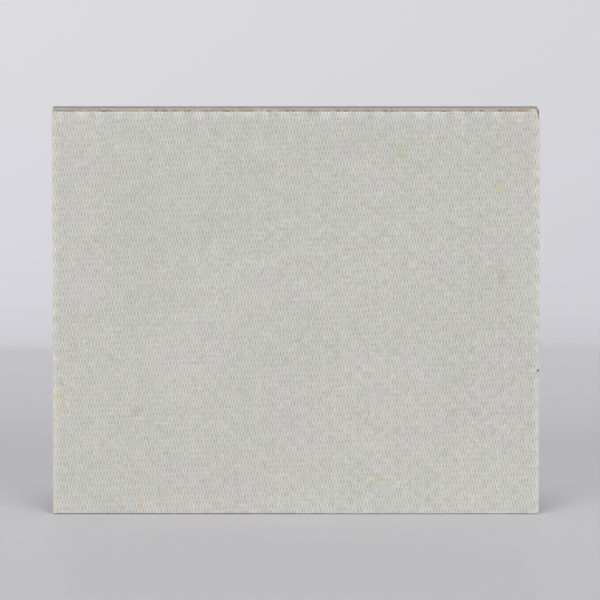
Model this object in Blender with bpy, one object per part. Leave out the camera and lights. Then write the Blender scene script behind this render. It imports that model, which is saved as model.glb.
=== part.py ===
# Stone honeycomb panel: a thin slab of stone bonded to a light sandwich of glass-cloth skins
# around a core of aluminium foil, with the core's sawn edges closed by putty.
# It stands on its long edge, with the back skin towards -Y and the stone towards +Y.

import math

import bmesh
import bpy
from mathutils import Matrix, Vector

# The sawn panel, in metres
PANEL_LENGTH = 0.180
PANEL_HEIGHT = 0.150

# How thick each layer is, from the back of the panel to the face of the stone
BACK_SKIN = 0.0008
CORE = 0.0101
FRONT_SKIN = 0.0008
STONE_ADHESIVE = 0.0006
STONE = 0.0065

# The glue line between two pieces
GLUE_LINE = 0.0003

# The honeycomb: foil ribbons run along the panel and are bonded where they touch.
# A real cell's walls are 3 mm long, and one cell here stands for two by two of those.
CELL_WALL = 0.0060
WALL_SLOPE = math.radians(78.5)
FOIL = 0.00015
CORE_TURN = math.radians(1.5)

# The least width of putty between the sawn edge and the first whole cell
PUTTY = 0.0020

# The worn corner, top right as seen from the back, which is chipped further back on that side
STONE_CORNER = 0.0015
CHIPPED_CORNER = 0.0022
CORNER_STEPS = 5

# The eased edge round the face of the stone
ARRIS = 0.0005

# How near two corners of the foil net are when they are the same corner
WELD = 1e-6


def clear_scene():
    for thing in list(bpy.data.objects):
        bpy.data.objects.remove(thing, do_unlink=True)


def finish(name, colour, roughness, metallic=0.0):
    """A material of one plain colour."""
    material = bpy.data.materials.new(name)
    material.use_nodes = True
    shader = material.node_tree.nodes["Principled BSDF"]
    shader.inputs["Base Color"].default_value = (*colour, 1.0)
    shader.inputs["Roughness"].default_value = roughness
    shader.inputs["Metallic"].default_value = metallic
    return material


def add_piece(name, body, centre, material, panel):
    """Turns a bmesh drawn round its own centre into a named piece of the panel."""
    bmesh.ops.recalc_face_normals(body, faces=body.faces)
    mesh = bpy.data.meshes.new(name)
    body.to_mesh(mesh)
    body.free()
    mesh.materials.append(material)
    piece = bpy.data.objects.new(name, mesh)
    bpy.context.collection.objects.link(piece)
    piece.location = centre
    piece.parent = panel
    return piece


def layer_centres():
    """Where the middle of each layer lies, front to back, with the whole stack centred on the origin."""
    layers = {
        "back_skin": BACK_SKIN,
        "core": CORE,
        "front_skin": FRONT_SKIN,
        "stone_adhesive": STONE_ADHESIVE,
        "stone": STONE,
    }
    back = -(sum(layers.values()) + GLUE_LINE * (len(layers) - 1)) / 2
    centres = {}
    for name, thickness in layers.items():
        centres[name] = Vector((0, back + thickness / 2, PANEL_HEIGHT / 2))
        back += thickness + GLUE_LINE
    return centres


def block(length, depth, height):
    body = bmesh.new()
    bmesh.ops.create_cube(body, size=1, matrix=Matrix.Diagonal((length, depth, height, 1)))
    return body


def round_top_right(body, radius):
    """Rounds the block's upright edge that meets the panel's worn corner."""
    corner = [
        edge
        for edge in body.edges
        if all(vert.co.x > 0 and vert.co.z > 0 for vert in edge.verts)
    ]
    bmesh.ops.bevel(
        body,
        geom=corner,
        offset=radius,
        segments=CORNER_STEPS,
        profile=0.5,
        affect="EDGES",
        material=-1,
    )


def plate(thickness, corner):
    """One flat layer over the whole panel."""
    body = block(PANEL_LENGTH, thickness, PANEL_HEIGHT)
    round_top_right(body, corner)
    return body


def stone_slab():
    """The slab, with its corner worn and the edges of its face eased."""
    body = plate(STONE, STONE_CORNER)
    face_edges = [
        edge for edge in body.edges if all(vert.co.y > 0 for vert in edge.verts)
    ]
    bmesh.ops.bevel(
        body,
        geom=face_edges,
        offset=ARRIS,
        segments=1,
        profile=0.5,
        affect="EDGES",
        material=-1,
    )
    return body


def cell_corners(bonded, free):
    """A cell's six corners about its centre, drawn in by so much at its bonded and its free walls."""
    half_width = CELL_WALL * (0.5 + math.cos(WALL_SLOPE)) - free / math.sin(WALL_SLOPE)
    half_height = CELL_WALL * math.sin(WALL_SLOPE) - bonded
    half_bond = half_width - half_height / math.tan(WALL_SLOPE)
    return (
        Vector((half_width, 0, 0)),
        Vector((half_bond, 0, half_height)),
        Vector((-half_bond, 0, half_height)),
        Vector((-half_width, 0, 0)),
        Vector((-half_bond, 0, -half_height)),
        Vector((half_bond, 0, -half_height)),
    )


def cell_centres():
    """The centres of all cells over the panel and a little past it, before the core is turned."""
    across = CELL_WALL * (1 + math.cos(WALL_SLOPE))
    up = 2 * CELL_WALL * math.sin(WALL_SLOPE)
    reach = math.hypot(PANEL_LENGTH, PANEL_HEIGHT) / 2
    columns = math.ceil(reach / across) + 1
    rows = math.ceil(reach / up) + 1
    for column in range(-columns, columns + 1):
        for row in range(-rows, rows + 1):
            yield Vector((column * across, 0, (row + column % 2 / 2) * up))


def laid_in_panel(centre, corners):
    """A cell's corners where they lie in the panel, in which the core is turned a little."""
    turn = Matrix.Rotation(-CORE_TURN, 3, "Y")
    return [turn @ (centre + corner) for corner in corners]


def is_whole(corners):
    """True of a cell that lies clear of the sawn edges."""
    return all(
        abs(corner.x) < PANEL_LENGTH / 2 - PUTTY
        and abs(corner.z) < PANEL_HEIGHT / 2 - PUTTY
        for corner in corners
    )


def thicken(net, depth):
    """Makes a flat net into a solid of this depth, half of it on either side."""
    made = bmesh.ops.extrude_face_region(net, geom=net.faces[:])["geom"]
    raised = [part for part in made if isinstance(part, bmesh.types.BMVert)]
    bmesh.ops.translate(net, verts=raised, vec=(0, depth, 0))
    bmesh.ops.translate(net, verts=net.verts, vec=(0, -depth / 2, 0))


def honeycomb():
    """The core: free walls one foil thick, bonded walls two foils thick, whole cells only."""
    net = bmesh.new()
    for centre in cell_centres():
        outer = laid_in_panel(centre, cell_corners(0, 0))
        inner = laid_in_panel(centre, cell_corners(FOIL, FOIL / 2))
        if not is_whole(outer):
            continue
        rim = [net.verts.new(corner) for corner in outer]
        hole = [net.verts.new(corner) for corner in inner]
        for here in range(len(rim)):
            after = (here + 1) % len(rim)
            net.faces.new((rim[here], rim[after], hole[after], hole[here]))
    bmesh.ops.remove_doubles(net, verts=net.verts, dist=WELD)
    thicken(net, CORE)
    return net


def core_plug():
    """What the core's outermost walls enclose, one glue line larger all round and deeper than the putty."""
    net = bmesh.new()
    for centre in cell_centres():
        corners = laid_in_panel(centre, cell_corners(0, 0))
        net.faces.new([net.verts.new(corner) for corner in corners])
    bmesh.ops.remove_doubles(net, verts=net.verts, dist=WELD)
    whole = [face for face in net.faces if is_whole([vert.co for vert in face.verts])]
    rim = bmesh.ops.inset_region(
        net, faces=whole, thickness=GLUE_LINE, use_even_offset=True, use_outset=True
    )["faces"]
    kept = set(whole + rim)
    beyond = [face for face in net.faces if face not in kept]
    bmesh.ops.delete(net, geom=beyond, context="FACES")
    thicken(net, 2 * CORE)
    return net


def putty_strips():
    """Each strip's name, length, height and middle, seen from the back."""
    band = PUTTY + 3 * CELL_WALL * math.sin(WALL_SLOPE)
    upright = PANEL_HEIGHT - 2 * (band + GLUE_LINE)
    side = (PANEL_LENGTH - band) / 2
    end = (PANEL_HEIGHT - band) / 2
    return (
        ("edge_filler_top", PANEL_LENGTH, band, Vector((0, 0, end))),
        ("edge_filler_bottom", PANEL_LENGTH, band, Vector((0, 0, -end))),
        ("edge_filler_left", band, upright, Vector((-side, 0, 0))),
        ("edge_filler_right", band, upright, Vector((side, 0, 0))),
    )


def add_edge_fillers(centre, material, panel):
    """Putty from the sawn edges in to the first whole cells, cut back from the foil by a glue line."""
    plug = add_piece("core_plug", core_plug(), centre, material, panel)
    plug.hide_render = True
    plug.display_type = "WIRE"
    for name, length, height, offset in putty_strips():
        body = block(length, CORE, height)
        if name == "edge_filler_top":
            round_top_right(body, CHIPPED_CORNER)
        strip = add_piece(name, body, centre + offset, material, panel)
        cut = strip.modifiers.new("Clear of the core", "BOOLEAN")
        cut.operation = "DIFFERENCE"
        cut.solver = "EXACT"
        cut.object = plug


def main():
    clear_scene()
    panel = bpy.data.objects.new("panel", None)
    bpy.context.collection.objects.link(panel)
    centres = layer_centres()

    laminate = finish("glass_laminate", (0.56, 0.56, 0.52), 0.55)
    add_piece("back_skin", plate(BACK_SKIN, CHIPPED_CORNER), centres["back_skin"], laminate, panel)
    add_piece("front_skin", plate(FRONT_SKIN, STONE_CORNER), centres["front_skin"], laminate, panel)

    aluminium = finish("aluminium_foil", (0.80, 0.81, 0.82), 0.30, metallic=1.0)
    add_piece("honeycomb_core", honeycomb(), centres["core"], aluminium, panel)

    putty = finish("edge_putty", (0.47, 0.41, 0.36), 0.80)
    add_edge_fillers(centres["core"], putty, panel)

    resin = finish("stone_adhesive_resin", (0.45, 0.42, 0.36), 0.40)
    adhesive = plate(STONE_ADHESIVE, STONE_CORNER)
    add_piece("stone_adhesive", adhesive, centres["stone_adhesive"], resin, panel)

    stone = finish("grey_stone", (0.26, 0.25, 0.24), 0.60)
    add_piece("stone_slab", stone_slab(), centres["stone"], stone, panel)


main()
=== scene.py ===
# %% [markdown]
# # A stone honeycomb panel, seen from behind
# The panel is a thin slab of stone on a light sandwich: glass cloth, a honeycomb of aluminium foil,
# and glass cloth again. This sample was sawn to size, its open edges were closed with putty, and it
# stands on a pale table with its back to the camera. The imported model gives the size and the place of
# every layer. This lesson builds each layer again with the detail that a plain solid lacks.

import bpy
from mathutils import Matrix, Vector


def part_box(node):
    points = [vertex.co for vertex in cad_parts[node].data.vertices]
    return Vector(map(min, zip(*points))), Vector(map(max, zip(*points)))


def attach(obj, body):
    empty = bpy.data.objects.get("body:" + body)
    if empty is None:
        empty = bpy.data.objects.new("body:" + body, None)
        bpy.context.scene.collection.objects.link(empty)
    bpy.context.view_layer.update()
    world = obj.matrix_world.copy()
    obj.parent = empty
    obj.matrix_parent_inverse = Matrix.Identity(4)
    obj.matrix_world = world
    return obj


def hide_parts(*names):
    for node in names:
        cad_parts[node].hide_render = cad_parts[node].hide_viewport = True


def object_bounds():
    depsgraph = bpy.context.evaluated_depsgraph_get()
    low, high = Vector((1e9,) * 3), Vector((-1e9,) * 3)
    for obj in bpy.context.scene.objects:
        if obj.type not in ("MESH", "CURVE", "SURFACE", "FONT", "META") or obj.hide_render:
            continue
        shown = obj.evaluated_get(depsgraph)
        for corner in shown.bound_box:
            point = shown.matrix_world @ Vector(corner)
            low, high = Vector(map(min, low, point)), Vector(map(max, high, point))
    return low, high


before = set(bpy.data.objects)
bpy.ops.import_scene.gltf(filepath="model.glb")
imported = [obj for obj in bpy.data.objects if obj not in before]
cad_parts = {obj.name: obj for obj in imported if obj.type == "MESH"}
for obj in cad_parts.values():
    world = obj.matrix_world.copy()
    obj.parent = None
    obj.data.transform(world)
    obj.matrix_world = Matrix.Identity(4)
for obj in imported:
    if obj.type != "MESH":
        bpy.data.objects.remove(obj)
cad_low, cad_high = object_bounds()
print("The packed model has these nodes:", ", ".join(sorted(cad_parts)))

# %% Everything else that the lesson needs
import bisect
import math

import bmesh
import bpy
from mathutils import Matrix, Vector, noise

MM = 0.001

# %% [markdown]
# ## The camera
# A product photographer stands well back with a long lens, so that upright edges stay upright. The
# photograph is square. Its camera looks along +Y and a little down, from more than three metres away.
# A long lens is a narrow angle: 540 mm on a sensor 36 mm wide.

# %% Set the camera up
PICTURE = 600
FOCAL_PIXELS = 9010
SENSOR = 36
CAMERA_PLACE = Vector((0.0015, -3.312, 0.5148))
CAMERA_PITCH = math.radians(7.500)

camera_data = bpy.data.cameras.new("camera")
camera_data.sensor_width = SENSOR
camera_data.lens = FOCAL_PIXELS / PICTURE * SENSOR
camera_data.clip_start = 0.1
camera_data.clip_end = 100
camera = bpy.data.objects.new("camera", camera_data)
camera.location = CAMERA_PLACE
camera.rotation_euler = (math.pi / 2 - CAMERA_PITCH, 0, 0)
bpy.context.scene.collection.objects.link(camera)
bpy.context.scene.camera = camera
print(f"The lens is {camera_data.lens:.0f} mm long")

# %% [markdown]
# Marks on the skin are easiest to name by where the photograph shows them. A ray from the camera
# through a point of the picture meets the back of the panel in one place, and that place is what the
# materials use from here on, in millimetres.

# %% From the picture to the back of the panel
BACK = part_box("back_skin")[0].y
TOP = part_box("back_skin")[1].z


def ray_through(across, down):
    """The direction in which the camera sees a point of the picture."""
    middle = PICTURE / 2
    ray = Vector(((across - middle) / FOCAL_PIXELS, (middle - down) / FOCAL_PIXELS, -1))
    return Matrix.Rotation(math.pi / 2 - CAMERA_PITCH, 3, "X") @ ray


def on_back(across, down):
    """Where a point of the picture lies on the back skin: millimetres along and millimetres up."""
    ray = ray_through(across, down)
    place = CAMERA_PLACE + ray * ((BACK - CAMERA_PLACE.y) / ray.y)
    return place.x / MM, place.z / MM


def on_top(across, down):
    """Where a point of the picture lies on the top edge: millimetres along and millimetres deep."""
    ray = ray_through(across, down)
    place = CAMERA_PLACE + ray * ((TOP - CAMERA_PLACE.z) / ray.z)
    return place.x / MM, place.y / MM


PIXEL = on_back(301, 300)[0] - on_back(300, 300)[0]
print(f"One point of the picture is {PIXEL:.3f} mm wide on the panel")

# %% [markdown]
# ## Light
# The photograph is lit softly and from the front. Two softboxes stand to the left and the right of the
# camera. They cast the two wide, faint shadows that fan out behind the panel. A large box overhead
# lights the table and the panel's top edge. Two weak ones behind keep the far side from going dark.
# A lamp's share says how much of a plain, full light it gives to a surface that faces it.

# %% Softboxes
AIM = Vector((0, 0, 0.075))


def softbox(name, azimuth, elevation, distance, width, height, share):
    """A lamp that faces the panel. Azimuth 0 is in front of the panel and turns towards +X."""
    turn = math.radians(azimuth)
    rise = math.radians(elevation)
    away = Vector((math.sin(turn) * math.cos(rise), -math.cos(turn) * math.cos(rise), math.sin(rise)))
    lamp = bpy.data.lights.new(name, "AREA")
    lamp.shape = "RECTANGLE"
    lamp.size = width
    lamp.size_y = height
    lamp.energy = share * math.pi**2 * distance**2
    stand = bpy.data.objects.new(name, lamp)
    stand.location = AIM + away * distance
    stand.rotation_euler = away.to_track_quat("Z", "Y").to_euler()
    stand.visible_camera = False
    bpy.context.scene.collection.objects.link(stand)


softbox("softbox_right", 32, 27, 6.0, 3.6, 2.1, 0.385)
softbox("softbox_left", -32, 27, 6.0, 3.6, 2.1, 0.385)
softbox("softbox_overhead", 0, 80, 5.0, 1.0, 1.7, 0.465)
softbox("softbox_behind_right", 145, 4, 2.4, 1.4, 0.25, 0.28)
softbox("softbox_behind_left", -145, 4, 2.4, 1.4, 0.25, 0.28)
print("Five softboxes stand round the panel")

# %% [markdown]
# ## A way to write materials
# A material is a small program. Built by hand it is a web of nodes, but it reads better as a sum. The
# class below wraps one output of a node, and Python's own operators add the Math nodes for it. So
# 1 - mask and wave * 0.1 work as they do on paper.


# %% A value that varies over a surface
class Field:
    """One output of a node. The operators make Math nodes, and node() makes any other."""

    def __init__(self, tree, socket):
        self.tree = tree
        self.socket = socket

    def node(self, kind, settings, sockets, output=0):
        """Adds a node: first its settings, then a value or a field for each of its sockets."""
        made = self.tree.nodes.new(kind)
        for name, value in settings.items():
            if name == "stops":
                ramp = made.color_ramp
                while len(ramp.elements) < len(value):
                    ramp.elements.new(1)
                for stop, (position, colour) in zip(ramp.elements, value):
                    stop.position = position
                    stop.color = (*colour, 1)
            else:
                setattr(made, name, value)
        for name, value in sockets.items():
            if isinstance(value, Field):
                self.tree.links.new(value.socket, made.inputs[name])
            elif made.inputs[name].type == "RGBA":
                made.inputs[name].default_value = (*value, 1)
            else:
                made.inputs[name].default_value = value
        return Field(self.tree, made.outputs[output]) if made.outputs else None

    def maths(self, operation, first, second=0.0):
        return self.node("ShaderNodeMath", {"operation": operation}, {0: first, 1: second})

    def __add__(self, other):
        return self.maths("ADD", self, other)

    def __radd__(self, other):
        return self.maths("ADD", other, self)

    def __sub__(self, other):
        return self.maths("SUBTRACT", self, other)

    def __rsub__(self, other):
        return self.maths("SUBTRACT", other, self)

    def __mul__(self, other):
        return self.maths("MULTIPLY", self, other)

    def __truediv__(self, other):
        return self.maths("DIVIDE", self, other)

    def __abs__(self):
        return self.maths("ABSOLUTE", self)

    def smaller(self, other):
        return self.maths("MINIMUM", self, other)

    def larger(self, other):
        return self.maths("MAXIMUM", self, other)

    def wave(self, period, start=0.0):
        """A cosine that is 1 at the start and again after each period."""
        return self.maths("COSINE", (self - start) * (math.tau / period))

    def step(self, low, high):
        """0 below low and 1 above high, or the other way round if low is the larger."""
        settings = {"interpolation_type": "SMOOTHSTEP"}
        return self.node("ShaderNodeMapRange", settings, {"Value": self, "From Min": low, "From Max": high})

    def blend(self, below, above):
        """The colour below where this field is 0, and the colour above where it is 1."""
        return self.node("ShaderNodeMix", {"data_type": "RGBA"}, {0: self, 6: below, 7: above}, 2)

    def times(self, other):
        """This colour or vector, made so many times as long."""
        return self.node("ShaderNodeVectorMath", {"operation": "SCALE"}, {0: self, "Scale": other})

    def grain(self, along, deep, up, detail=2.0):
        """Soft noise from -1 to 1 on this position, whose lumps are so many millimetres in size."""
        sizes = (1 / along, 1 / deep, 1 / up)
        place = self.node("ShaderNodeVectorMath", {"operation": "MULTIPLY"}, {0: self, 1: sizes})
        value = self.node("ShaderNodeTexNoise", {}, {"Vector": place, "Scale": 1.0, "Detail": detail})
        return (value - 0.5) * 2


def srgb(red, green, blue):
    """The linear colour that a screen shows as these numbers from 0 to 255."""
    return tuple(
        part / 12.92 if part <= 0.04045 else ((part + 0.055) / 1.055) ** 2.4
        for part in (red / 255, green / 255, blue / 255)
    )


def new_material(name):
    """A material, its shader, and the position on the piece in millimetres as a field."""
    material = bpy.data.materials.new(name)
    material.use_nodes = True
    tree = material.node_tree
    shader = tree.nodes["Principled BSDF"]
    place = Field(tree, tree.nodes.new("ShaderNodeTexCoord").outputs["Object"])
    return material, shader, place.times(1 / MM)


def parts_of(place):
    """A position's three numbers: along, deep and up."""
    return [place.node("ShaderNodeSeparateXYZ", {}, {0: place}, axis) for axis in range(3)]


def join(field, socket):
    field.tree.links.new(field.socket, socket)


def relief(height, shader):
    """Gives the shader the slopes of a height in millimetres."""
    join(height.node("ShaderNodeBump", {}, {"Height": height, "Distance": MM}), shader.inputs["Normal"])


print("Fields are ready")

# %% [markdown]
# ## The room
# Behind the table hangs a pale backdrop that darkens a little towards the table's edge and towards the
# right. Only rays from the camera, and those that gloss or glass sends on, see it. The light that
# reaches the panel from all round is plain and even.

# %% Backdrop and even light
EVEN_LIGHT = 0.16
# The backdrop's colour at some heights in the picture, from the table's edge upwards
BACKDROP = (
    (346, srgb(205, 204, 210)),
    (340, srgb(206, 205, 211)),
    (330, srgb(209, 208, 214)),
    (300, srgb(213, 212, 218)),
    (250, srgb(216, 215, 221)),
    (150, srgb(218, 217, 223)),
    (10, srgb(220, 219, 224)),
)
# How much darker the right of the backdrop is than the left, and how wide the camera sees
BACKDROP_FALL = 0.055
HALF_VIEW = PICTURE / 2 / FOCAL_PIXELS

world = bpy.data.worlds.new("room")
world.use_nodes = True
bpy.context.scene.world = world
sky = world.node_tree
sky.nodes.clear()
ray = Field(sky, sky.nodes.new("ShaderNodeTexCoord").outputs["Generated"])
sideways, _, upward = parts_of(ray)
heights = [-math.sin(CAMERA_PITCH + (down - PICTURE / 2) / FOCAL_PIXELS) for down, _ in BACKDROP]
lowest, highest = heights[0], heights[-1]
stops = [
    ((height - lowest) / (highest - lowest), colour) for height, (_, colour) in zip(heights, BACKDROP)
]
drape = upward.node(
    "ShaderNodeValToRGB",
    {"stops": stops},
    {"Fac": (upward - lowest) / (highest - lowest)},
)
rightness = ((sideways / HALF_VIEW).larger(-1.0).smaller(1.0) + 1) * 0.5
drape = drape.times(1 - rightness * BACKDROP_FALL)
seen = drape.node("ShaderNodeBackground", {}, {"Color": drape, "Strength": 1.0})
even = drape.node("ShaderNodeBackground", {}, {"Color": (1.0, 1.0, 1.0), "Strength": EVEN_LIGHT})
paths = sky.nodes.new("ShaderNodeLightPath").outputs
direct = Field(sky, paths["Is Camera Ray"])
direct = direct.larger(Field(sky, paths["Is Glossy Ray"]))
direct = direct.larger(Field(sky, paths["Is Transmission Ray"]))
room = direct.node("ShaderNodeMixShader", {}, {0: direct, 1: even, 2: seen})
room.node("ShaderNodeOutputWorld", {}, {"Surface": room})
print("The room has a backdrop")

# %% [markdown]
# ## The table
# The table is pale and slightly violet, with the fine grain and the specks of a used top. It ends a
# little less than half a metre behind the panel. The photograph shows that end out of focus, so here
# the table fades out over a few centimetres.

# %% Table top
TABLE_END = 446.0
TABLE_FADE = 15.0
# Its far end runs this much further back for each millimetre to the right
TABLE_SKEW = 0.022
TABLE_FRONT = 3500.0
TABLE_HALF = 3000.0

table_material, table_shader, place = new_material("table_top")
along, deep, up = parts_of(place)
cloudy = place.grain(60.0, 60.0, 60.0)
fine = place.grain(0.9, 0.9, 0.9)
speck = place.grain(1.6, 1.6, 2.4, detail=0.0).step(0.42, 0.62)
# Painted light: the last term makes the table lighter from 150 mm to 450 mm back, where the lamps fall off
tone = 1 + cloudy * 0.01 + fine * 0.025 + speck * 0.05 + deep.step(150, 450) * 0.07
table_tree = table_material.node_tree
plain_table = Field(table_tree, table_tree.nodes.new("ShaderNodeRGB").outputs[0])
plain_table.socket.default_value = (*srgb(184, 183, 187), 1)
join(plain_table.times(tone), table_shader.inputs["Base Color"])
table_shader.inputs["Roughness"].default_value = 0.4
relief(fine * 0.02 + speck * 0.03, table_shader)
gone = (deep - along * TABLE_SKEW).step(TABLE_END - TABLE_FADE, TABLE_END + TABLE_FADE)
clear = gone.node("ShaderNodeBsdfTransparent", {}, {})
lit = Field(table_tree, table_shader.outputs[0])
faded = gone.node("ShaderNodeMixShader", {}, {0: gone, 1: lit, 2: clear})
join(faded, table_tree.nodes["Material Output"].inputs["Surface"])

top = bmesh.new()
far_end = TABLE_END + TABLE_FADE + TABLE_SKEW * TABLE_HALF
reach = TABLE_FRONT + far_end
middle = Vector((0, (far_end - reach / 2) * MM, 0))
spread = Matrix.Translation(middle) @ Matrix.Diagonal((2 * TABLE_HALF * MM, reach * MM, 1, 1))
bmesh.ops.create_grid(top, x_segments=8, y_segments=8, size=0.5, matrix=spread)
table_mesh = bpy.data.meshes.new("table")
top.to_mesh(table_mesh)
top.free()
table_mesh.materials.append(table_material)
table = bpy.data.objects.new("table", table_mesh)
bpy.context.scene.collection.objects.link(table)
print(f"The table is {reach * MM:.2f} m deep")

# %% [markdown]
# ## The sizes that the layers share
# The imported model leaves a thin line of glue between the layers. On the real panel the resin fills that
# line, so here each layer reaches the next one. The panel's top right corner is worn: the stone there
# is round, and the skin and the putty are chipped back further.

# %% Where each layer lies
HALF_LENGTH = (cad_high.x - cad_low.x) / 2 / MM
HEIGHT = cad_high.z / MM
SKIN_OUT = cad_low.y / MM
CORE_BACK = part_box("honeycomb_core")[0].y / MM
CORE_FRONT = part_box("honeycomb_core")[1].y / MM
ADHESIVE_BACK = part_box("stone_adhesive")[0].y / MM
STONE_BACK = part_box("stone_slab")[0].y / MM
STONE_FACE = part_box("stone_slab")[1].y / MM
CORNER = 1.5
CHIPPED = 2.2
CORNER_CUTS = 6
# How near a point is to the outline when it counts as lying on it
NEAR = 0.01
thickness = STONE_FACE - SKIN_OUT
print(f"The panel is {2 * HALF_LENGTH:.0f} mm long, {HEIGHT:.0f} mm high and {thickness:.0f} mm thick")


def add_piece(name, body, material, slot, *stands_for):
    """Turns a bmesh drawn in millimetres into a piece of the panel."""
    bmesh.ops.scale(body, vec=(MM, MM, MM), verts=body.verts)
    mesh = bpy.data.meshes.new(name)
    body.to_mesh(mesh)
    body.free()
    mesh.materials.append(material)
    piece = bpy.data.objects.new(name, mesh)
    bpy.context.scene.collection.objects.link(piece)
    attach(piece, "root")
    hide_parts(*stands_for)
    triangles = sum(len(face.vertices) - 2 for face in mesh.polygons)
    print(f"{name}: {triangles} triangles")


def round_corner(body, radius, chips=0.0):
    """Cuts the top right corner of a flat bmesh round, with a straight cut for each facet."""
    centre = Vector((HALF_LENGTH - radius, 0, HEIGHT - radius))
    for cut in range(CORNER_CUTS):
        angle = math.radians(90 * (cut + 0.5) / CORNER_CUTS)
        out = Vector((math.cos(angle), 0, math.sin(angle)))
        chip = chips * abs(noise.noise(out * 9))
        bmesh.ops.bisect_plane(
            body,
            geom=body.verts[:] + body.edges[:] + body.faces[:],
            plane_co=centre + out * (radius - chip),
            plane_no=out,
            clear_outer=True,
        )


# %% [markdown]
# ## The honeycomb core
# Strips of aluminium foil are glued to one another in staggered lines and pulled apart into six-sided
# cells. The saw cuts through the cells at every edge of the panel, so the ends of the foil show there
# as thin lines in the putty. One cell is drawn flat and copied over the whole panel. Its walls get
# their thickness by an inset, and the net is cut to the panel's outline before it is drawn out
# to the depth of the core.

# %% Sizes of a cell
CELL_WALL = 3.0
WALL_SLOPE = math.radians(79.5)
FOIL = 0.08
CORE_TURN = math.radians(1.2)
COLUMN = CELL_WALL * (1 + math.cos(WALL_SLOPE))
ROW = 2 * CELL_WALL * math.sin(WALL_SLOPE)
# A cell whose middle the photograph shows as a dark blob
CELL_SEEN = (426.0, 421.5)
print(f"Cells repeat every {COLUMN:.2f} mm along and every {ROW:.2f} mm up")


# %% Draw the foil net
def flat_net():
    """The cell walls as a flat net round one cell at the origin, wider than the panel."""
    net = bmesh.new()
    half_width = CELL_WALL * (0.5 + math.cos(WALL_SLOPE))
    half_bond = CELL_WALL / 2
    corners = (
        (half_width, 0),
        (half_bond, ROW / 2),
        (-half_bond, ROW / 2),
        (-half_width, 0),
        (-half_bond, -ROW / 2),
        (half_bond, -ROW / 2),
    )
    net.faces.new([net.verts.new((x, 0, z)) for x, z in corners])
    cell = net.verts[:] + net.edges[:] + net.faces[:]
    # The first cell lies right of the panel's middle, so a third of the columns is enough on that side
    columns = math.ceil(2 * HALF_LENGTH / COLUMN)
    rows = math.ceil(HEIGHT / ROW)
    for column in range(-columns, columns // 3):
        for row in range(-rows + 3, rows):
            if column == row == 0:
                continue
            copy = bmesh.ops.duplicate(net, geom=cell)["geom"]
            verts = [part for part in copy if isinstance(part, bmesh.types.BMVert)]
            bmesh.ops.translate(net, verts=verts, vec=(column * COLUMN, 0, (row + column % 2 / 2) * ROW))
    bmesh.ops.remove_doubles(net, verts=net.verts, dist=NEAR)
    cells = net.faces[:]
    bmesh.ops.inset_individual(net, faces=cells, thickness=FOIL / 2, use_even_offset=True)
    bmesh.ops.delete(net, geom=cells, context="FACES_ONLY")
    return net


def cut_to_outline(net):
    """Saws a flat bmesh to the panel's outline, worn corner and all."""
    for place, out in (
        (Vector((HALF_LENGTH, 0, 0)), Vector((1, 0, 0))),
        (Vector((-HALF_LENGTH, 0, 0)), Vector((-1, 0, 0))),
        (Vector((0, 0, HEIGHT)), Vector((0, 0, 1))),
        (Vector((0, 0, 0)), Vector((0, 0, -1))),
    ):
        everything = net.verts[:] + net.edges[:] + net.faces[:]
        bmesh.ops.bisect_plane(net, geom=everything, plane_co=place, plane_no=out, clear_outer=True)
    round_corner(net, CHIPPED)


net = flat_net()
seen_along, seen_up = on_back(*CELL_SEEN)
lay = Matrix.Translation((seen_along, 0, seen_up)) @ Matrix.Rotation(-CORE_TURN, 4, "Y")
bmesh.ops.transform(net, matrix=lay, verts=net.verts)
cut_to_outline(net)
# Slivers of foil that lie flush with the top or the bottom cut have come off with the saw
flush = [
    face
    for face in net.faces
    if all(HEIGHT - vert.co.z < 3 * FOIL for vert in face.verts)
    or all(vert.co.z < 3 * FOIL for vert in face.verts)
]
bmesh.ops.delete(net, geom=flush, context="FACES")
print(f"The net has {len(net.faces)} faces")

# %% [markdown]
# The putty shrinks a little beside each end of foil, so the strips of putty have to know where those
# ends are. They are the short edges of the net that lie on the outline, and they are kept in order
# of how far round the outline they come, starting at the bottom left corner and going up.


# %% Find the sawn ends of the foil
def way_round(x, z):
    """How far round the outline a point on it lies, from the bottom left corner upwards."""
    if x < NEAR - HALF_LENGTH:
        return z
    if z > HEIGHT - CHIPPED and x < HALF_LENGTH - NEAR:
        return HEIGHT + HALF_LENGTH + x
    if x > HALF_LENGTH - NEAR:
        return 2 * HEIGHT + 2 * HALF_LENGTH - z
    return 2 * HEIGHT + 3 * HALF_LENGTH - x


ends = set()
for edge in net.edges:
    spot = (edge.verts[0].co + edge.verts[1].co) / 2
    sawn = min(HALF_LENGTH - abs(spot.x), spot.z, HEIGHT - spot.z)
    if sawn < NEAR and edge.is_boundary:
        ends.add(round(way_round(spot.x, spot.z), 2))
ends = sorted(ends)
print(f"{len(ends)} ends of foil show round the panel")


def to_foil(distance):
    """From a place on the outline to the nearest end of foil, and which end that is."""
    after = bisect.bisect(ends, distance)
    near = [index for index in (after - 1, after) if 0 <= index < len(ends)]
    nearest = min(near, key=lambda index: abs(ends[index] - distance))
    return abs(ends[nearest] - distance), nearest


# %% Foil
foil_material, shader, place = new_material("aluminium_foil")
along, deep, up = parts_of(place)
dull = place.grain(1.5, 1.5, 1.5)
to_cut = (HALF_LENGTH - abs(along)).smaller(up).smaller(HEIGHT - up)
smeared = (to_cut + dull * 0.1).step(0.5, 0.15) * (0.8 + dull * 0.3)
colour = dull.step(-0.6, 0.8).blend(srgb(186, 184, 180), srgb(214, 213, 210))
join(smeared.blend(colour, srgb(158, 150, 142)), shader.inputs["Base Color"])
join(0.42 + dull * 0.1 + smeared * 0.3, shader.inputs["Roughness"])
join(1 - smeared, shader.inputs["Metallic"])

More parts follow.
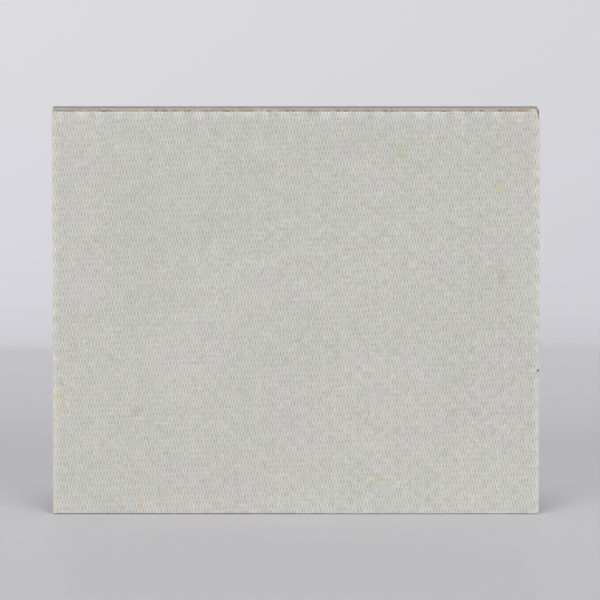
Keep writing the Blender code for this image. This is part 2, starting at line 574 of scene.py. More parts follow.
bmesh.ops.translate(net, verts=net.verts, vec=(0, CORE_BACK, 0))
drawn = bmesh.ops.extrude_face_region(net, geom=net.faces[:])["geom"]
far = [part for part in drawn if isinstance(part, bmesh.types.BMVert)]
bmesh.ops.translate(net, verts=far, vec=(0, CORE_FRONT - CORE_BACK, 0))
bmesh.ops.recalc_face_normals(net, faces=net.faces)
add_piece("foil_core", net, foil_material, "foil", "honeycomb_core")

# %% [markdown]
# ## The putty
# Putty is pressed into the open cells of a sawn edge with a spatula, one edge at a time, and it is
# wiped off level. It stays a little below the saw cut, shrinks along the foil, and is full of small
# holes, most of them next to the back skin, where it is browner. Each strip starts as a flat grid, as
# fine as the holes, which is folded round the panel's corners. Then every point is pressed in as deep
# as the pits and grooves are there, and the same depth is kept to paint the deep places darker,
# partly as dirt and partly as painted shade.

# %% Sizes of the putty
LOW_SEAM = (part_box("edge_filler_bottom")[1].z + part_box("edge_filler_left")[0].z) / 2 / MM
HIGH_SEAM = (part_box("edge_filler_top")[0].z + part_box("edge_filler_left")[1].z) / 2 / MM
STRIP_DEPTH = 2.6
GRID_ALONG = 0.35
GRID_DEEP = 0.5
FULL_PIT = 0.5
# How far below the saw cut the putty is wiped, how much that varies, and the least there is
WIPED = 0.06
WIPED_BY = 0.04
LEAST_PRESS = 0.03
# The groove beside an end of foil, and the gap where the putty has parted from the back skin
GROOVE = 0.22
GROOVE_HALF = 0.4
PARTED = 0.18
# The places for small pits are this far apart, along and deep, and this share of them has a pit:
# in the top edge, in the other edges at the stone's side, and how much more at the skin's side
PIT_ALONG = 2.1
PIT_DEEP = 2.6
OFTEN_TOP = 0.08
OFTEN_LEAST = 0.06
OFTEN_AT_SKIN = 0.3
# The clearest pits in the top edge: where the photograph shows them, and how deep they are
PITS = (
    (71.5, 110.7, 0.8),
    (104, 110.9, 0.7),
    (110, 110.4, 1.0),
    (155.5, 110.6, 0.5),
    (164.5, 110.7, 0.6),
    (189.5, 110.5, 1.0),
    (206.5, 110.7, 0.6),
    (211, 110.8, 0.5),
    (225, 110.6, 0.9),
    (227.5, 110.8, 0.9),
    (268, 110.5, 0.6),
    (287.5, 110.7, 0.8),
    (293.5, 110.9, 0.6),
    (337.5, 110.6, 0.7),
    (345.5, 110.7, 1.0),
    (354, 110.6, 0.6),
    (364.5, 110.6, 0.8),
    (369, 110.6, 0.8),
    (372.5, 110.6, 0.7),
    (384.5, 110.5, 0.6),
    (391.5, 110.7, 1.0),
    (424.5, 110.6, 0.7),
    (431.5, 110.7, 0.7),
    (443.5, 110.9, 0.9),
    (480.5, 110.6, 0.6),
    (500, 110.7, 0.7),
)
# The camera sees a pit darkest low on its far wall, so its middle lies this much further back
PIT_BACK = 1.2
# Half its size along the panel and half its size into it
SEEN_HALF_ALONG = 0.65
SEEN_HALF_DEEP = 2.3
# Light crumbs of clean putty in the top edge
CRUMBS = (
    (85, 110.3),
    (140, 109.6),
    (148.5, 110.8),
    (169.5, 110.8),
    (192, 111.0),
    (236, 109.7),
    (265.5, 109.6),
    (289.5, 110.8),
    (333, 110.6),
    (366.5, 110.7),
    (399.5, 110.7),
    (454, 110.2),
    (467.5, 110.8),
    (487.5, 110.4),
    (493, 109.8),
)
# Where skin and putty are chipped off beside the worn corner, so that dark stone shows
CHIP_WIDE = 0.75
CHIP_LONG = 2.6
CHIP_SOFT = 0.3
print(f"{len(PITS)} pits and {len(CRUMBS)} crumbs of the top edge have their place from the photograph")


def rise(value, low, high):
    """A soft step from 0 at low to 1 at high."""
    part = min(max((value - low) / (high - low), 0), 1)
    return part * part * (3 - 2 * part)


def chipped_off(up):
    """How much is missing from the right side at this height."""
    end = HEIGHT - CHIP_LONG
    return CHIP_WIDE * rise(up, end - CHIP_SOFT, end + CHIP_SOFT)


seen_pits = []
for across, down, size in PITS:
    along, deep = on_top(across, down)
    seen_pits.append((HEIGHT + HALF_LENGTH + along, deep + PIT_BACK, size))


def seen_pit(distance, deep):
    """How deep the pits are that the photograph shows, from 0 to 1."""
    deepest = 0
    ragged = 0.4 * noise.noise(Vector((distance / 0.7, deep / 0.9, 5)))
    for pit_distance, pit_deep, size in seen_pits:
        if abs(distance - pit_distance) < 1.5:
            off_along = (distance - pit_distance) / SEEN_HALF_ALONG
            off_deep = (deep - pit_deep) / SEEN_HALF_DEEP
            deepest = max(deepest, size * rise(math.hypot(off_along, off_deep) + ragged, 1.4, 0.4))
    return deepest


def pressed_in(distance, deep):
    """How far below the saw cut the putty lies."""
    gap, end = to_foil(distance)
    from_skin = deep - CORE_BACK
    wiped = WIPED + WIPED_BY * noise.noise(Vector((distance / 6, from_skin / 4, 1)))
    strength = 0.5 + 0.5 * noise.noise(Vector((end * 0.73, from_skin / 5, 2)))
    groove = GROOVE * strength * math.exp(-((gap / GROOVE_HALF) ** 2))
    ragged = 0.12 * noise.noise(Vector((distance / 0.7, from_skin / 0.7, 5)))
    distances, middles = noise.voronoi(Vector((distance / PIT_ALONG, from_skin / PIT_DEEP, 3)))
    often = OFTEN_LEAST + OFTEN_AT_SKIN * rise(from_skin, 5.5, 1.5)
    if HEIGHT < distance < HEIGHT + 2 * HALF_LENGTH:
        often = OFTEN_TOP
    hole = 0
    if noise.cell(middles[0] * 7.3) < often:
        size = 0.3 + 0.7 * noise.cell(middles[0] * 3.1)
        hole = FULL_PIT * size * rise(distances[0] + ragged, 0.2 + 0.16 * size, 0.08)
    hole = max(hole, 1.5 * FULL_PIT * seen_pit(distance, deep))
    open_here = rise(noise.noise(Vector((distance / 3, 0, 4))), -0.3, 0.3)
    parted = PARTED * rise(from_skin, 0.7, 0.1) * open_here
    return max(LEAST_PRESS, wiped + groove + hole + parted)


# %% Fold, press and close a strip
def corner_arc():
    """Points round the worn corner, from its top to its side."""
    middle_x, middle_z = HALF_LENGTH - CHIPPED, HEIGHT - CHIPPED
    angles = [math.radians(90 * cut / CORNER_CUTS) for cut in range(CORNER_CUTS + 1)]
    return [(middle_x + CHIPPED * math.sin(a), middle_z + CHIPPED * math.cos(a)) for a in angles]


def on_route(route, distance):
    """The point so far along a route of straight legs."""
    for start, end in zip(route, route[1:]):
        leg = math.dist(start, end)
        if distance <= leg or end == route[-1]:
            part = min(distance / leg, 1)
            return start[0] + (end[0] - start[0]) * part, start[1] + (end[1] - start[1]) * part
        distance -= leg


def inwards(x, z):
    """The direction from a point on the outline into the panel."""
    from_x, from_z = HALF_LENGTH - CHIPPED, HEIGHT - CHIPPED
    if x > from_x and z > from_z:
        return Vector((from_x - x, 0, from_z - z)).normalized()
    side = -math.copysign(1, x) if abs(x) > HALF_LENGTH - NEAR else 0
    level = 1 if z < NEAR else -1 if z > HEIGHT - NEAR else 0
    return Vector((side, 0, level)).normalized()


def putty_strip(route):
    """A strip of putty along a route on the outline."""
    length = sum(math.dist(start, end) for start, end in zip(route, route[1:]))
    depth = CORE_FRONT - CORE_BACK
    body = bmesh.new()
    bmesh.ops.create_grid(
        body,
        x_segments=round(length / GRID_ALONG),
        y_segments=round(depth / GRID_DEEP),
        size=0.5,
    )
    hollow = body.verts.layers.float.new("hollow")
    for vert in body.verts:
        x, z = on_route(route, (vert.co.x + 0.5) * length)
        deep = CORE_BACK + (vert.co.y + 0.5) * depth
        press = pressed_in(way_round(x, z), deep)
        vert[hollow] = press / FULL_PIT
        vert.co = Vector((x, deep, z)) + inwards(x, z) * press
        vert.co.x = min(vert.co.x, HALF_LENGTH - chipped_off(z))
    outer = body.faces[:]
    inner = bmesh.ops.extrude_face_region(body, geom=outer)["geom"]
    inner = [part for part in inner if isinstance(part, bmesh.types.BMVert)]
    for vert in inner:
        vert.co.x = min(max(vert.co.x, STRIP_DEPTH - HALF_LENGTH), HALF_LENGTH - STRIP_DEPTH)
        vert.co.z = min(max(vert.co.z, STRIP_DEPTH), HEIGHT - STRIP_DEPTH)
    return body, inner


print(f"The strips meet {LOW_SEAM:.1f} mm and {HIGH_SEAM:.1f} mm up the sides")

# %% [markdown]
# The cells that the saw cut open along the top edge were filled one by one, and the putty's tint
# differs from cell to cell. Each is listed by its tint, with its place across the picture, half its
# width there, and how far down it shines through the skin.

# %% The cut cells along the top edge
# The row of the picture that the light spots on the skin hang from
MOUTH_TOP = 112.5
MOUTHS = {
    "white": (
        (61, 3.5, 10),
        (100, 5, 10),
        (119, 4.5, 8),
        (199, 5, 7),
        (266, 3, 9),
        (326, 6, 8),
        (360.5, 6, 7),
        (399, 6.5, 9),
        (420.5, 7, 9),
        (439, 6.5, 8.5),
        (478, 5.5, 8),
    ),
    "green": (
        (81.5, 6, 8),
        (158, 6, 7),
        (178, 5, 7),
        (216, 4.5, 6),
        (284, 5, 7),
        (299, 6, 7),
        (343, 7, 6),
        (379, 5, 6),
        (497, 4.5, 8),
    ),
    "tan": ((139, 6.5, 8), (228, 5, 5), (248, 8, 5)),
    "pink": ((458.5, 5.5, 9), (519, 7.5, 9)),
}

# %% [markdown]
# The colour of the putty is a pale, pinkish tan. Next to the back skin it is browner and more uneven,
# and the holes are painted dark, partly for dirt and partly as painted shade. Near the worn corner some
# of it is stained orange.

# %% Putty
BROWN_MIDDLE = 3.6
ORANGE_SPOT = 523.5
PALE_SPOT = 533.5
PUTTY_TINTS = {
    "white": srgb(188, 182, 175),
    "green": srgb(170, 167, 150),
    "tan": srgb(186, 173, 156),
    "pink": srgb(192, 175, 169),
}

# Marks of the top edge fade between these heights, which keeps them off the sides of the panel
TOP_EDGE = (HEIGHT - 1, HEIGHT - 0.7)
# The stains by the worn corner fade between these
CORNER_PART = (140, 149)

putty_material, shader, place = new_material("edge_putty")
along, deep, up = parts_of(place)
hollow = place.node("ShaderNodeAttribute", {"attribute_name": "hollow"}, {}, 2)
lumps = place.grain(2.6, 2.2, 2.6)
fine = place.grain(0.7, 0.7, 0.7)
from_skin = deep - CORE_BACK
patchy = place.grain(3.2, 9.0, 3.2)
brown = abs(from_skin + lumps * 1.2 + patchy * 1.5 - BROWN_MIDDLE).step(4.4, 1.0)
brown = (brown * (0.8 + patchy * 1.6)).larger(0.0).smaller(1.0)
colour = (lumps * 0.5 + 0.5).blend(srgb(176, 169, 161), srgb(180, 173, 165))
on_top_edge = up.step(*TOP_EDGE)
for name, mouths in MOUTHS.items():
    tinted = along * 0
    for across, half_width, _ in mouths:
        off = abs(along - on_back(across, MOUTH_TOP)[0]) / (half_width * PIXEL)
        tinted = tinted.larger((off + lumps * 0.3).step(1.4, 0.8))
    colour = (tinted * on_top_edge * 0.75).blend(colour, PUTTY_TINTS[name])
colour = brown.blend(colour, srgb(144, 132, 120))
pink = place.grain(6.0, 4.0, 6.0).step(0.0, 0.5)
colour = (pink * 0.6).blend(colour, srgb(190, 173, 166))
orange = (abs(along - on_top(ORANGE_SPOT, 110)[0]) + lumps).step(3.4, 1.4) * up.step(*CORNER_PART)
colour = (orange * 0.7).blend(colour, srgb(168, 144, 116))
pale = (abs(along - on_top(PALE_SPOT, 110)[0]) + fine).step(1.9, 1.0) * up.step(*CORNER_PART)
colour = (pale * 0.7).blend(colour, srgb(216, 203, 193))
crumbs = along * 0
for across, down in CRUMBS:
    crumb_along, crumb_deep = on_top(across, down)
    off_along = along - crumb_along
    off_deep = (deep - crumb_deep) * 0.4
    near = off_along * off_along + off_deep * off_deep + fine * 0.15
    crumbs = crumbs.larger(near.step(0.42, 0.08))
crumbs = crumbs * on_top_edge
colour = crumbs.blend(colour, srgb(212, 204, 194))
# Painted shade and dirt: the deeper the putty is pressed in, the darker it is painted
pit_dirt_and_shade = (hollow - 0.22 + fine * 0.2).step(0.0, 0.75)
colour = pit_dirt_and_shade.blend(colour, srgb(80, 66, 57))
colour = colour.times(1 + fine * 0.18 + lumps * 0.22 - patchy * 0.2)
join(colour, shader.inputs["Base Color"])
join(0.86 - hollow * 0.1, shader.inputs["Roughness"])
relief(fine * 0.03, shader)
print(f"The putty has {len(PUTTY_TINTS)} tints along its top edge")

# %% The four strips
TOP_LEFT = (-HALF_LENGTH, HEIGHT)
BOTTOM_LEFT = (-HALF_LENGTH, 0)
BOTTOM_RIGHT = (HALF_LENGTH, 0)
ROUTES = {
    "top": [(-HALF_LENGTH, HIGH_SEAM), TOP_LEFT, *corner_arc(), (HALF_LENGTH, HIGH_SEAM)],
    "bottom": [(-HALF_LENGTH, LOW_SEAM), BOTTOM_LEFT, BOTTOM_RIGHT, (HALF_LENGTH, LOW_SEAM)],
    "left": [(-HALF_LENGTH, LOW_SEAM), (-HALF_LENGTH, HIGH_SEAM)],
    "right": [(HALF_LENGTH, LOW_SEAM), (HALF_LENGTH, HIGH_SEAM)],
}
for side, route in ROUTES.items():
    strip, inner = putty_strip(route)
    bmesh.ops.remove_doubles(strip, verts=inner, dist=0.001)
    bmesh.ops.recalc_face_normals(strip, faces=strip.faces)
    add_piece(f"putty_{side}", strip, putty_material, "putty", f"edge_filler_{side}")

# %% [markdown]
# ## The layers between the core and the stone
# A second glass skin closes the front of the core, and a bed of epoxy holds the stone to it. Only their
# sawn edges show, so each is a plate whose rim has points less than a millimetre apart. The rim is
# drawn back by a different small amount at each point: the glass is slightly frayed, the epoxy has
# shrunk back, and the stone has lost small chips along its sharp edges.


# %% Plates with a fine rim
def outline_face(back, radius, spacing):
    """A flat face with the panel's outline, at this depth, with a point at each spacing of its rim."""
    body = bmesh.new()
    lay = Matrix.Translation((0, back, HEIGHT / 2)) @ Matrix.Rotation(-math.pi / 2, 4, "X")
    lay = lay @ Matrix.Diagonal((2 * HALF_LENGTH, HEIGHT, 1, 1))
    bmesh.ops.create_grid(body, x_segments=1, y_segments=1, size=0.5, matrix=lay)
    corner = [vert for vert in body.verts if vert.co.x > 0 and vert.co.z > HEIGHT / 2]
    bmesh.ops.bevel(
        body,
        geom=corner,
        offset=radius,
        segments=CORNER_CUTS,
        profile=0.5,
        affect="VERTICES",
        material=-1,
    )
    for edge in body.edges[:]:
        pieces = round(edge.calc_length() / spacing)
        if pieces > 1:
            bmesh.ops.subdivide_edges(body, edges=[edge], cuts=pieces - 1)
    return body


def build_up(body, depths):
    """Draws the one face out towards the stone's face, by each of these depths in turn."""
    [cap] = body.faces
    for depth in depths:
        drawn = bmesh.ops.extrude_face_region(body, geom=[cap], use_keep_orig=len(body.faces) == 1)["geom"]
        verts = [part for part in drawn if isinstance(part, bmesh.types.BMVert)]
        bmesh.ops.translate(body, verts=verts, vec=(0, depth, 0))
        cap = next(part for part in drawn if isinstance(part, bmesh.types.BMFace))


def draw_back(body, reach, loss, chipped=True):
    """Moves each point near the outline inwards by what is lost there."""
    for vert in body.verts:
        lost = loss(vert.co)
        if HALF_LENGTH - abs(vert.co.x) < reach:
            vert.co.x -= math.copysign(lost, vert.co.x)
        if vert.co.z < reach:
            vert.co.z += lost
        if HEIGHT - vert.co.z < reach:
            vert.co.z -= lost
        if chipped:
            vert.co.x = min(vert.co.x, HALF_LENGTH - chipped_off(vert.co.z))


def rough(place, size, seed):
    """Noise from -1 to 1 at a place, with lumps of this size."""
    return noise.noise(place / size + Vector((seed, seed, seed)))


# %% The front skin and the bed of epoxy
PLY = 0.34
RIM_SPACING = 0.8


def cloth_edge(laminate):
    """How light sawn glass cloth is, for its plies and its tufts of glass."""
    deep = parts_of(laminate)[1]
    plies = (deep + laminate.grain(8, 8, 8) * 0.08).wave(PLY)
    tufts = laminate.grain(0.5, 0.3, 0.5)
    return 1 + plies * 0.06 + tufts * 0.09


laminate_material, shader, place = new_material("glass_laminate")
resin = place.grain(12, 12, 12).step(-0.6, 0.6).blend(srgb(170, 165, 158), srgb(178, 172, 163))
join(resin.times(cloth_edge(place)), shader.inputs["Base Color"])
shader.inputs["Roughness"].default_value = 0.55

front = outline_face(CORE_FRONT, CORNER, RIM_SPACING)
build_up(front, [ADHESIVE_BACK - CORE_FRONT])
draw_back(front, 1.0, lambda spot: 0.03 + 0.09 * max(0, rough(spot, 1.7, 5)))
add_piece("front_laminate", front, laminate_material, "laminate", "front_skin")

adhesive_material, shader, place = new_material("stone_adhesive")
thick = place.grain(5, 5, 5)
join(thick.step(-0.7, 0.7).blend(srgb(136, 127, 117), srgb(160, 150, 138)), shader.inputs["Base Color"])
join(0.38 + thick * 0.08, shader.inputs["Roughness"])

bed = outline_face(ADHESIVE_BACK, CORNER, RIM_SPACING)
build_up(bed, [STONE_BACK - ADHESIVE_BACK])
draw_back(bed, 1.0, lambda spot: 0.16 + 0.12 * rough(spot, 2.4, 6))
add_piece("adhesive_bed", bed, adhesive_material, "adhesive", "stone_adhesive")

# %% [markdown]
# ## The stone
# The stone is sawn from a dark, warm grey slab with a fine grain. Its face, on the far side, is honed
# flat and its edges there are eased. The sawn edges keep faint saw marks and small chips. The
# photograph doesn't show the face, so it is left plain.

# %% Stone finish
# Notches that the photograph shows in the stone's top edge: the mesh has no notch there, so their shade is
# painted on as dark spots
STONE_NOTCHES = ((239.5, 107.7), (312.5, 107.8), (391.5, 107.7), (511.5, 107.9))

stone_material, shader, place = new_material("grey_stone")
along, deep, up = parts_of(place)
clouds = place.grain(38, 38, 30, detail=4.0)
grain = place.grain(0.8, 0.8, 0.8, detail=3.0)
bands = place.grain(60, 7, 14, detail=3.0)
mottles = place.grain(6, 6, 5, detail=5.0)
fleck = place.grain(0.9, 0.9, 0.9, detail=0.0).step(0.35, 0.6)
dark_fleck = place.grain(1.1, 1.1, 1.1, detail=0.0).step(-0.3, -0.6)
colour = clouds.step(-0.45, 0.45).blend(srgb(126, 121, 117), srgb(141, 136, 131))
colour = (fleck * 0.22).blend(colour, srgb(182, 178, 172))
colour = (dark_fleck * 0.25).blend(colour, srgb(114, 110, 107))
for across, down in STONE_NOTCHES:
    notch_along, notch_deep = on_top(across, down)
    off_along = (along - notch_along) * 1.4
    off_deep = (deep - notch_deep) * 0.5
    # Painted shade: each notch is a dark spot in the colour, not a cut in the mesh
    notch_shade = (off_along * off_along + off_deep * off_deep + grain * 0.2).step(1.0, 0.2)
    notch_shade = notch_shade * up.step(*TOP_EDGE)
    colour = notch_shade.blend(colour, srgb(78, 74, 70))
join(colour.times(1 + grain * 0.1 + mottles * 0.1 + bands * 0.08), shader.inputs["Base Color"])
join(0.5 + grain * 0.06 + clouds * 0.03, shader.inputs["Roughness"])
relief(grain * 0.006, shader)
print(f"The stone has {len(STONE_NOTCHES)} dark notches along its top edge")

# %% Stone slab
ARRIS = 0.3
CHIP = 0.3
STONE_SPACING = 0.6
# Loops behind the stone's back edge, where chips need points, and the last one before its face
BACK_LOOPS = (0.35, 0.6, 1.2, 1.5)
FACE_LOOP = 0.35
# The eased edge is cut in two steps
ARRIS_STEPS = (0.35, 0.65)


def stone_loss(spot):
    """Saw marks all over the edges, and chips where they are sharp."""
    marks = 0.02 + 0.03 * rough(Vector((spot.x * 0.3, spot.y * 2, spot.z * 0.3)), 1.5, 7)
    from_edge = min(spot.y - STONE_BACK, STONE_FACE - spot.y)
    chips = CHIP * rise(rough(spot, 2.3, 8), 0.3, 0.6) * rise(from_edge, 0.8, 0.0)
    return max(0.0, marks) + chips


slab = outline_face(STONE_BACK, CORNER, STONE_SPACING)
plain = STONE_FACE - STONE_BACK - sum(BACK_LOOPS) - FACE_LOOP - ARRIS
build_up(slab, [*BACK_LOOPS, plain, FACE_LOOP])
cap = max(slab.faces, key=lambda face: face.calc_center_median().y)
for part in ARRIS_STEPS:
    bmesh.ops.inset_region(
        slab,
        faces=[cap],
        thickness=ARRIS * (1 - part),
        depth=ARRIS * part,
        use_even_offset=True,
    )
draw_back(slab, 0.4, stone_loss, chipped=False)
add_piece("stone_facing", slab, stone_material, "stone", "stone_slab")

# %% [markdown]
# ## The woven skin
# This is what the photograph shows: plain-woven glass cloth in a pale resin. Fine yarns run upright
# and much coarser ones run level, so each crossing is a small upright dash. A crossing where the
# upright yarn is on top stands out, and its neighbours on all four sides lie lower; the colour makes the
# tops lighter and the low ones darker, partly the yarns' own colour and partly painted light and shade.
# That is one cosine times another. The grid has a column for each upright yarn and two rows for each
# level yarn, and each point moves by that product.

# %% The cloth's measures
COLUMNS = 314
ROWS = 142
YARN_ALONG = 2 * HALF_LENGTH / COLUMNS
YARN_UP = HEIGHT / ROWS * 2
# Level yarns rise a little towards the right, and the first one starts this far up
YARN_TILT = math.tan(math.radians(2.2))
CLOTH_START = 1.1
CLOTH_RELIEF = 0.07
FRAY = 0.12
# The gap between the skin's lower edge and the table, and how much wider it is at the left
FOOT_GAP = 0.23
FOOT_GAP_LEFT = 0.05
# Where the photograph shows nicks in the sawn top edge, across the picture, and how deep one is
NICKS = (104, 170.5, 185.5, 192, 270, 309, 316.5, 386.5, 466, 470.5, 487.5)
NICK = 0.4
print(f"An upright yarn is {YARN_ALONG:.2f} mm wide and a level one {YARN_UP:.2f} mm")


def cloth_height(along, up):
    """1 on top of an upright yarn, -1 on top of a level one."""
    level = up - along * YARN_TILT - CLOTH_START
    return math.cos(math.pi * (along + HALF_LENGTH) / YARN_ALONG) * math.cos(math.pi * level / YARN_UP)


def foot_gap(along):
    """How far the skin's lower edge hangs above the table: most at the left."""
    even = FOOT_GAP + FOOT_GAP_LEFT * rise(along, 25, -5)
    slow = 0.05 * noise.noise(Vector((along / 5, 0, 9)))
    quick = 0.04 * noise.noise(Vector((along, 0, 9)))
    return max(0.0, even + slow + quick)


nicks = [on_back(across, 112)[0] for across in NICKS]
skin = bmesh.new()
lay = Matrix.Translation((0, SKIN_OUT, HEIGHT / 2)) @ Matrix.Rotation(math.pi / 2, 4, "X")
lay = lay @ Matrix.Diagonal((2 * HALF_LENGTH, HEIGHT, 1, 1))
bmesh.ops.create_grid(skin, x_segments=COLUMNS, y_segments=ROWS, size=0.5, matrix=lay)
round_corner(skin, CHIPPED, chips=0.3)
for vert in skin.verts:
    spot = vert.co.copy()
    crossing = (1 - cloth_height(spot.x, spot.z)) / 2
    uneven = 0.8 + 0.4 * noise.noise(spot / 3)
    vert.co.y += CLOTH_RELIEF * min(1, max(0, crossing * uneven))
    if HALF_LENGTH - abs(spot.x) < NEAR:
        vert.co.x -= math.copysign(FRAY * max(0, rough(spot, 1.3, 10)), spot.x)
    if HEIGHT - spot.z < NEAR:
        vert.co.z -= FRAY * max(0, rough(spot, 1.1, 11))
        nearest = min(abs(spot.x - nick) for nick in nicks)
        vert.co.z -= NICK * rise(nearest, 0.6, 0.2)
    if spot.z < NEAR:
        vert.co.z += foot_gap(spot.x)
    if spot.x > 0:
        vert.co.x = min(vert.co.x, HALF_LENGTH - chipped_off(spot.z))
cloth = skin.faces[:]
rim = [edge for edge in skin.edges if edge.is_boundary]
drawn = bmesh.ops.extrude_edge_only(skin, edges=rim)["geom"]
for face in skin.faces:
    face.smooth = False
for face in cloth:
    face.smooth = True
for edge in rim:
    edge.smooth = False
for part in drawn:
    if isinstance(part, bmesh.types.BMVert):
        part.co.y = CORE_BACK
inner_rim = [part for part in drawn if isinstance(part, bmesh.types.BMEdge) and part.is_boundary]
bmesh.ops.contextual_create(skin, geom=inner_rim)
bmesh.ops.recalc_face_normals(skin, faces=skin.faces)
print(f"The cloth has {len(skin.faces)} faces")

# %% [markdown]
# Two kinds of soft spots show on the skin. Along the top edge, the putty in the cut cells shines
# through as light half rounds. Elsewhere, water and glue have left small stains. These are listed by
# colour, with the place of each in the picture, its half width and half height there, and how strong
# it is. The dark specks sit on the upright edges, where a grain of the skin has broken off: they are
# painted shade of those small chips, which the mesh doesn't have.

# %% Spots and stains that the photograph shows
MOUTH_COLOURS = {
    "white": srgb(207, 206, 201),
    "green": srgb(207, 207, 196),
    "tan": srgb(209, 205, 195),
    "pink": srgb(208, 203, 198),
}
STAIN_AND_CHIP_SHADE_COLOURS = {
    "yellow": srgb(193, 186, 150),
    "brown": srgb(176, 164, 140),
    "tan": srgb(214, 200, 172),
    "pink": srgb(204, 189, 181),
    "green": srgb(183, 186, 160),
    # The colour of the painted shade in the small chips on the upright edges
    "dark": srgb(95, 90, 86),
}
STAINS_AND_CHIP_SHADE = {
    "yellow": (
        (500, 188, 4.5, 7, 0.55),
        (501, 300, 6, 17, 0.2),
        (499, 321, 4, 6, 0.18),
        (60, 402, 5, 12, 0.35),
        (147, 424, 4, 5, 0.2),
        (148, 457, 4, 4, 0.15),
        (217, 476, 5, 5, 0.2),
        (375, 480, 7, 8, 0.25),
        (262, 465, 4, 4, 0.15),
        (387, 420, 4, 9, 0.12),
        (385, 450, 3, 5, 0.15),
        (450, 420, 3, 7, 0.15),
        (438, 275, 7, 8, 0.12),
        (233, 354, 6, 4, 0.15),
        (535, 298, 2.5, 30, 0.12),
    ),
    "brown": ((136, 411, 5, 6, 0.35), (502, 279, 4.5, 9, 0.25)),
    "tan": (
        (58, 413, 3, 8, 0.2),
        (142, 503, 7, 7, 0.3),
        (151, 469, 4.5, 7, 0.35),
        (59, 503, 4, 7, 0.3),
        (533, 502, 3, 7, 0.25),
        (534, 122, 3, 8, 0.25),
        (535, 182, 3, 18, 0.25),
    ),
    "pink": ((433, 338, 4, 7, 0.35), (57, 150, 3, 9, 0.4), (56, 128, 3, 8, 0.3), (57, 215, 3, 8, 0.25)),
    "green": ((401, 153, 7, 8, 0.55),),
    # Painted shade: dark specks where a grain has broken off the upright edges
    "dark": (
        (538.2, 232, 1, 1, 0.5),
        (538, 315, 1, 1, 0.5),
        (537.6, 370.3, 1.3, 1.5, 1.0),
        (57, 145.5, 0.8, 1.2, 0.3),
        (57, 368.5, 0.8, 1.2, 0.3),
    ),
}

# %% [markdown]
# How light the cloth is could be painted on, but a sum of small parts stays sharp at any distance.
# The weave is one wave times another, on the same lines as the mesh. It paints raised crossings lighter
# and low ones darker: partly the yarns' own colour, partly painted light and shade of the relief. Noise of
# several sizes breaks it up, from single yarns to broad clouds, because the photograph is uneven at each
# of those sizes.

# %% How light the cloth is
# A weaker second weave lies under the first: its width, its height and how it leans
SECOND_ALONG = 1.325
SECOND_UP = 2.42
SECOND_LEAN = math.tan(math.radians(3.7))
STRIPE = 1.31

skin_material, shader, place = new_material("woven_laminate")
along, deep, up = parts_of(place)
level = up - along * YARN_TILT
wander = place.grain(2.5, 5.0, 4.0, detail=1.0)
slip = place.grain(1.1, 5.0, 6.0, detail=1.0)
yarns = (along + wander * 0.10).wave(2 * YARN_ALONG, -HALF_LENGTH)
picks = (level + slip * 0.7).wave(2 * YARN_UP, CLOTH_START)
weave = yarns * picks
contrast = 1 + place.grain(0.9, 5.0, 2.4, detail=1.0)
strand = place.grain(0.42, 5.0, 1.4, detail=1.0)
knots = place.grain(0.5, 5.0, 0.7, detail=0.0)
mottle = place.grain(1.6, 5.0, 1.6, detail=1.0)
clouds = place.grain(9, 9, 7, detail=2.0)
broad = place.grain(45, 45, 45, detail=1.0)
second = along.wave(SECOND_ALONG) * (up - along * SECOND_LEAN).wave(SECOND_UP)
streaks = place.grain(0.6, 5.0, 2.2, detail=1.0)
patches = place.grain(4.0, 5.0, 4.0, detail=1.0)
row_lines = level.wave(YARN_UP, CLOTH_START)
stripes = along.wave(STRIPE)
# The weave term is partly the yarns' own colour and partly painted light and shade of the relief
tone = weave * contrast * 0.19 + streaks * 0.15 + strand * 0.18 + knots * 0.17
tone = tone + mottle * 0.08 + patches * 0.085 + clouds * 0.065 + broad * 0.05
tone = tone + second * 0.014 - row_lines * 0.022 + stripes * 0.021
print(f"A dash of the weave repeats every {2 * YARN_ALONG:.2f} mm along and {2 * YARN_UP:.2f} mm up")

# %% [markdown]
# The cells of the core show through the skin as faint dark blobs, most clearly at the lower right.
# Light doesn't pass through this skin, so the blobs are waves with the pitch, the turn and the place
# of the modelled cells. Two slanting waves, written as a product, and one along make a six-sided net.

# %% The honeycomb behind the skin
turned_along = (along - seen_along) * math.cos(CORE_TURN) + (up - seen_up) * math.sin(CORE_TURN)
turned_up = (up - seen_up) * math.cos(CORE_TURN) - (along - seen_along) * math.sin(CORE_TURN)
cells = turned_along.wave(2 * COLUMN) * turned_up.wave(ROW) + turned_along.wave(COLUMN) * 0.35
clear_side = along.step(-30, 40) * 0.5 + up.step(70, 25) * 0.3
cells = cells * (0.3 + clear_side + place.grain(16, 16, 16) * 0.3)
greener = up.step(85, 112) * (HALF_LENGTH - abs(along)).step(8, 25)
tone = tone - cells * 0.036 - greener * 0.014
print(f"The cells behind the skin are turned by {math.degrees(CORE_TURN):.1f} degrees")

# %% [markdown]
# The weave belongs to the face, and the sawn rim shows the plies instead. Along the edges the skin is
# paler, because the saw bruised it and putty lies behind it. Cut cells show there as light spots,
# which are evenly spaced on the sides and the bottom.

# %% Edges of the skin
# How far apart the cut cells are, and the point of the picture that they are counted from
LOW_PITCH = 6.96
LOW_START = (9.5, 510)
LEFT_PITCH = 5.87
LEFT_START = (57, 122.5)
RIGHT_PITCH = 5.98
RIGHT_START = (535, 125.4)

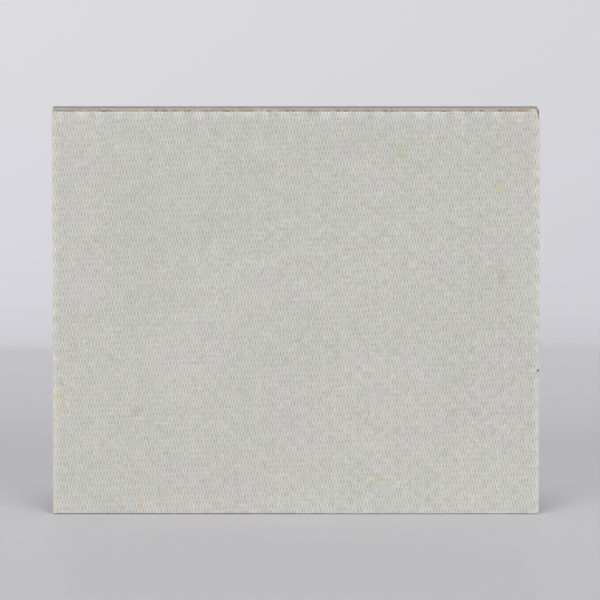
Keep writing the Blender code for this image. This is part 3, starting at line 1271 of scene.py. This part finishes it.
on_rim = (deep - SKIN_OUT).step(0.1, 0.25)
tone = tone * (1 - on_rim) + (cloth_edge(place) - 1) * on_rim
side_gap = HALF_LENGTH - abs(along)
top_gap = HEIGHT - up
pale_edge = side_gap.step(2.2, 0.3).larger(up.step(0.9, 0.1) * 0.5)
sawn = top_gap.step(0.5, 0.1)
low_mouths = up.step(3.0, 1.0) * along.wave(LOW_PITCH, on_back(*LOW_START)[0])
left_waves = up.wave(LEFT_PITCH, on_back(*LEFT_START)[1]) + 1
left_mouths = (along + HALF_LENGTH).step(3.0, 1.2) * left_waves
right_waves = up.wave(RIGHT_PITCH, on_back(*RIGHT_START)[1]) + 1
right_mouths = (HALF_LENGTH - along).step(3.8, 1.8) * right_waves
tone = tone + pale_edge * 0.07 + sawn * 0.14 + low_mouths * 0.015
tone = tone + left_mouths * 0.042 + right_mouths * 0.03
green = place.grain(3.5, 5, 3.5, detail=0.0) * 0.7 + place.grain(11, 11, 11, detail=0.0) * 0.5
green = (green + place.grain(30, 30, 30, detail=1.0) * 0.9 + greener * 0.3 - 0.15).step(-0.75, 0.75)
colour = green.blend(srgb(195.5, 193.2, 188), srgb(193, 194.8, 187.3))
yellowed = place.grain(7, 5, 6).step(-0.1, 0.6)
colour = (yellowed * 0.45).blend(colour, srgb(195, 193, 180))
print(f"Cut cells show every {LEFT_PITCH} mm up the left edge and every {RIGHT_PITCH} mm up the right one")

# %% Light and stained spots on the skin
ragged = place.grain(2.0, 5.0, 2.0)


def covered_by(spots, ragged_by):
    """From 0 to 1, where these spots of the picture lie on the skin, with so ragged an edge."""
    covered = along * 0
    for across, down, half_width, half_height, strength in spots:
        spot_along, spot_up = on_back(across, down)
        off_along = (along + ragged * ragged_by - spot_along) / (half_width * PIXEL)
        off_up = (up - ragged * ragged_by - spot_up) / (half_height * PIXEL)
        spread = off_along * off_along + off_up * off_up
        covered = covered.larger(spread.step(2.0, 0.1) * strength)
    return covered


for name, mouths in MOUTHS.items():
    spots = [(across, MOUTH_TOP, half_width, reach, 0.8) for across, half_width, reach in mouths]
    colour = covered_by(spots, 0.4).blend(colour, MOUTH_COLOURS[name])
    print(f"{len(spots)} {name} cut cells")
# Stains, and the painted shade of the small chips
for name, spots in STAINS_AND_CHIP_SHADE.items():
    colour = covered_by(spots, 0.9).blend(colour, STAIN_AND_CHIP_SHADE_COLOURS[name])
    print(f"{len(spots)} {name} stains")
join(colour.times(1 + tone), shader.inputs["Base Color"])
join(0.5 - weave * 0.05, shader.inputs["Roughness"])
relief(strand * 0.01, shader)
add_piece("woven_back_skin", skin, skin_material, "laminate", "back_skin")

# %% [markdown]
# ## The view
# Colours are shown with the plain Standard view.

bpy.context.scene.view_settings.view_transform = "Standard"
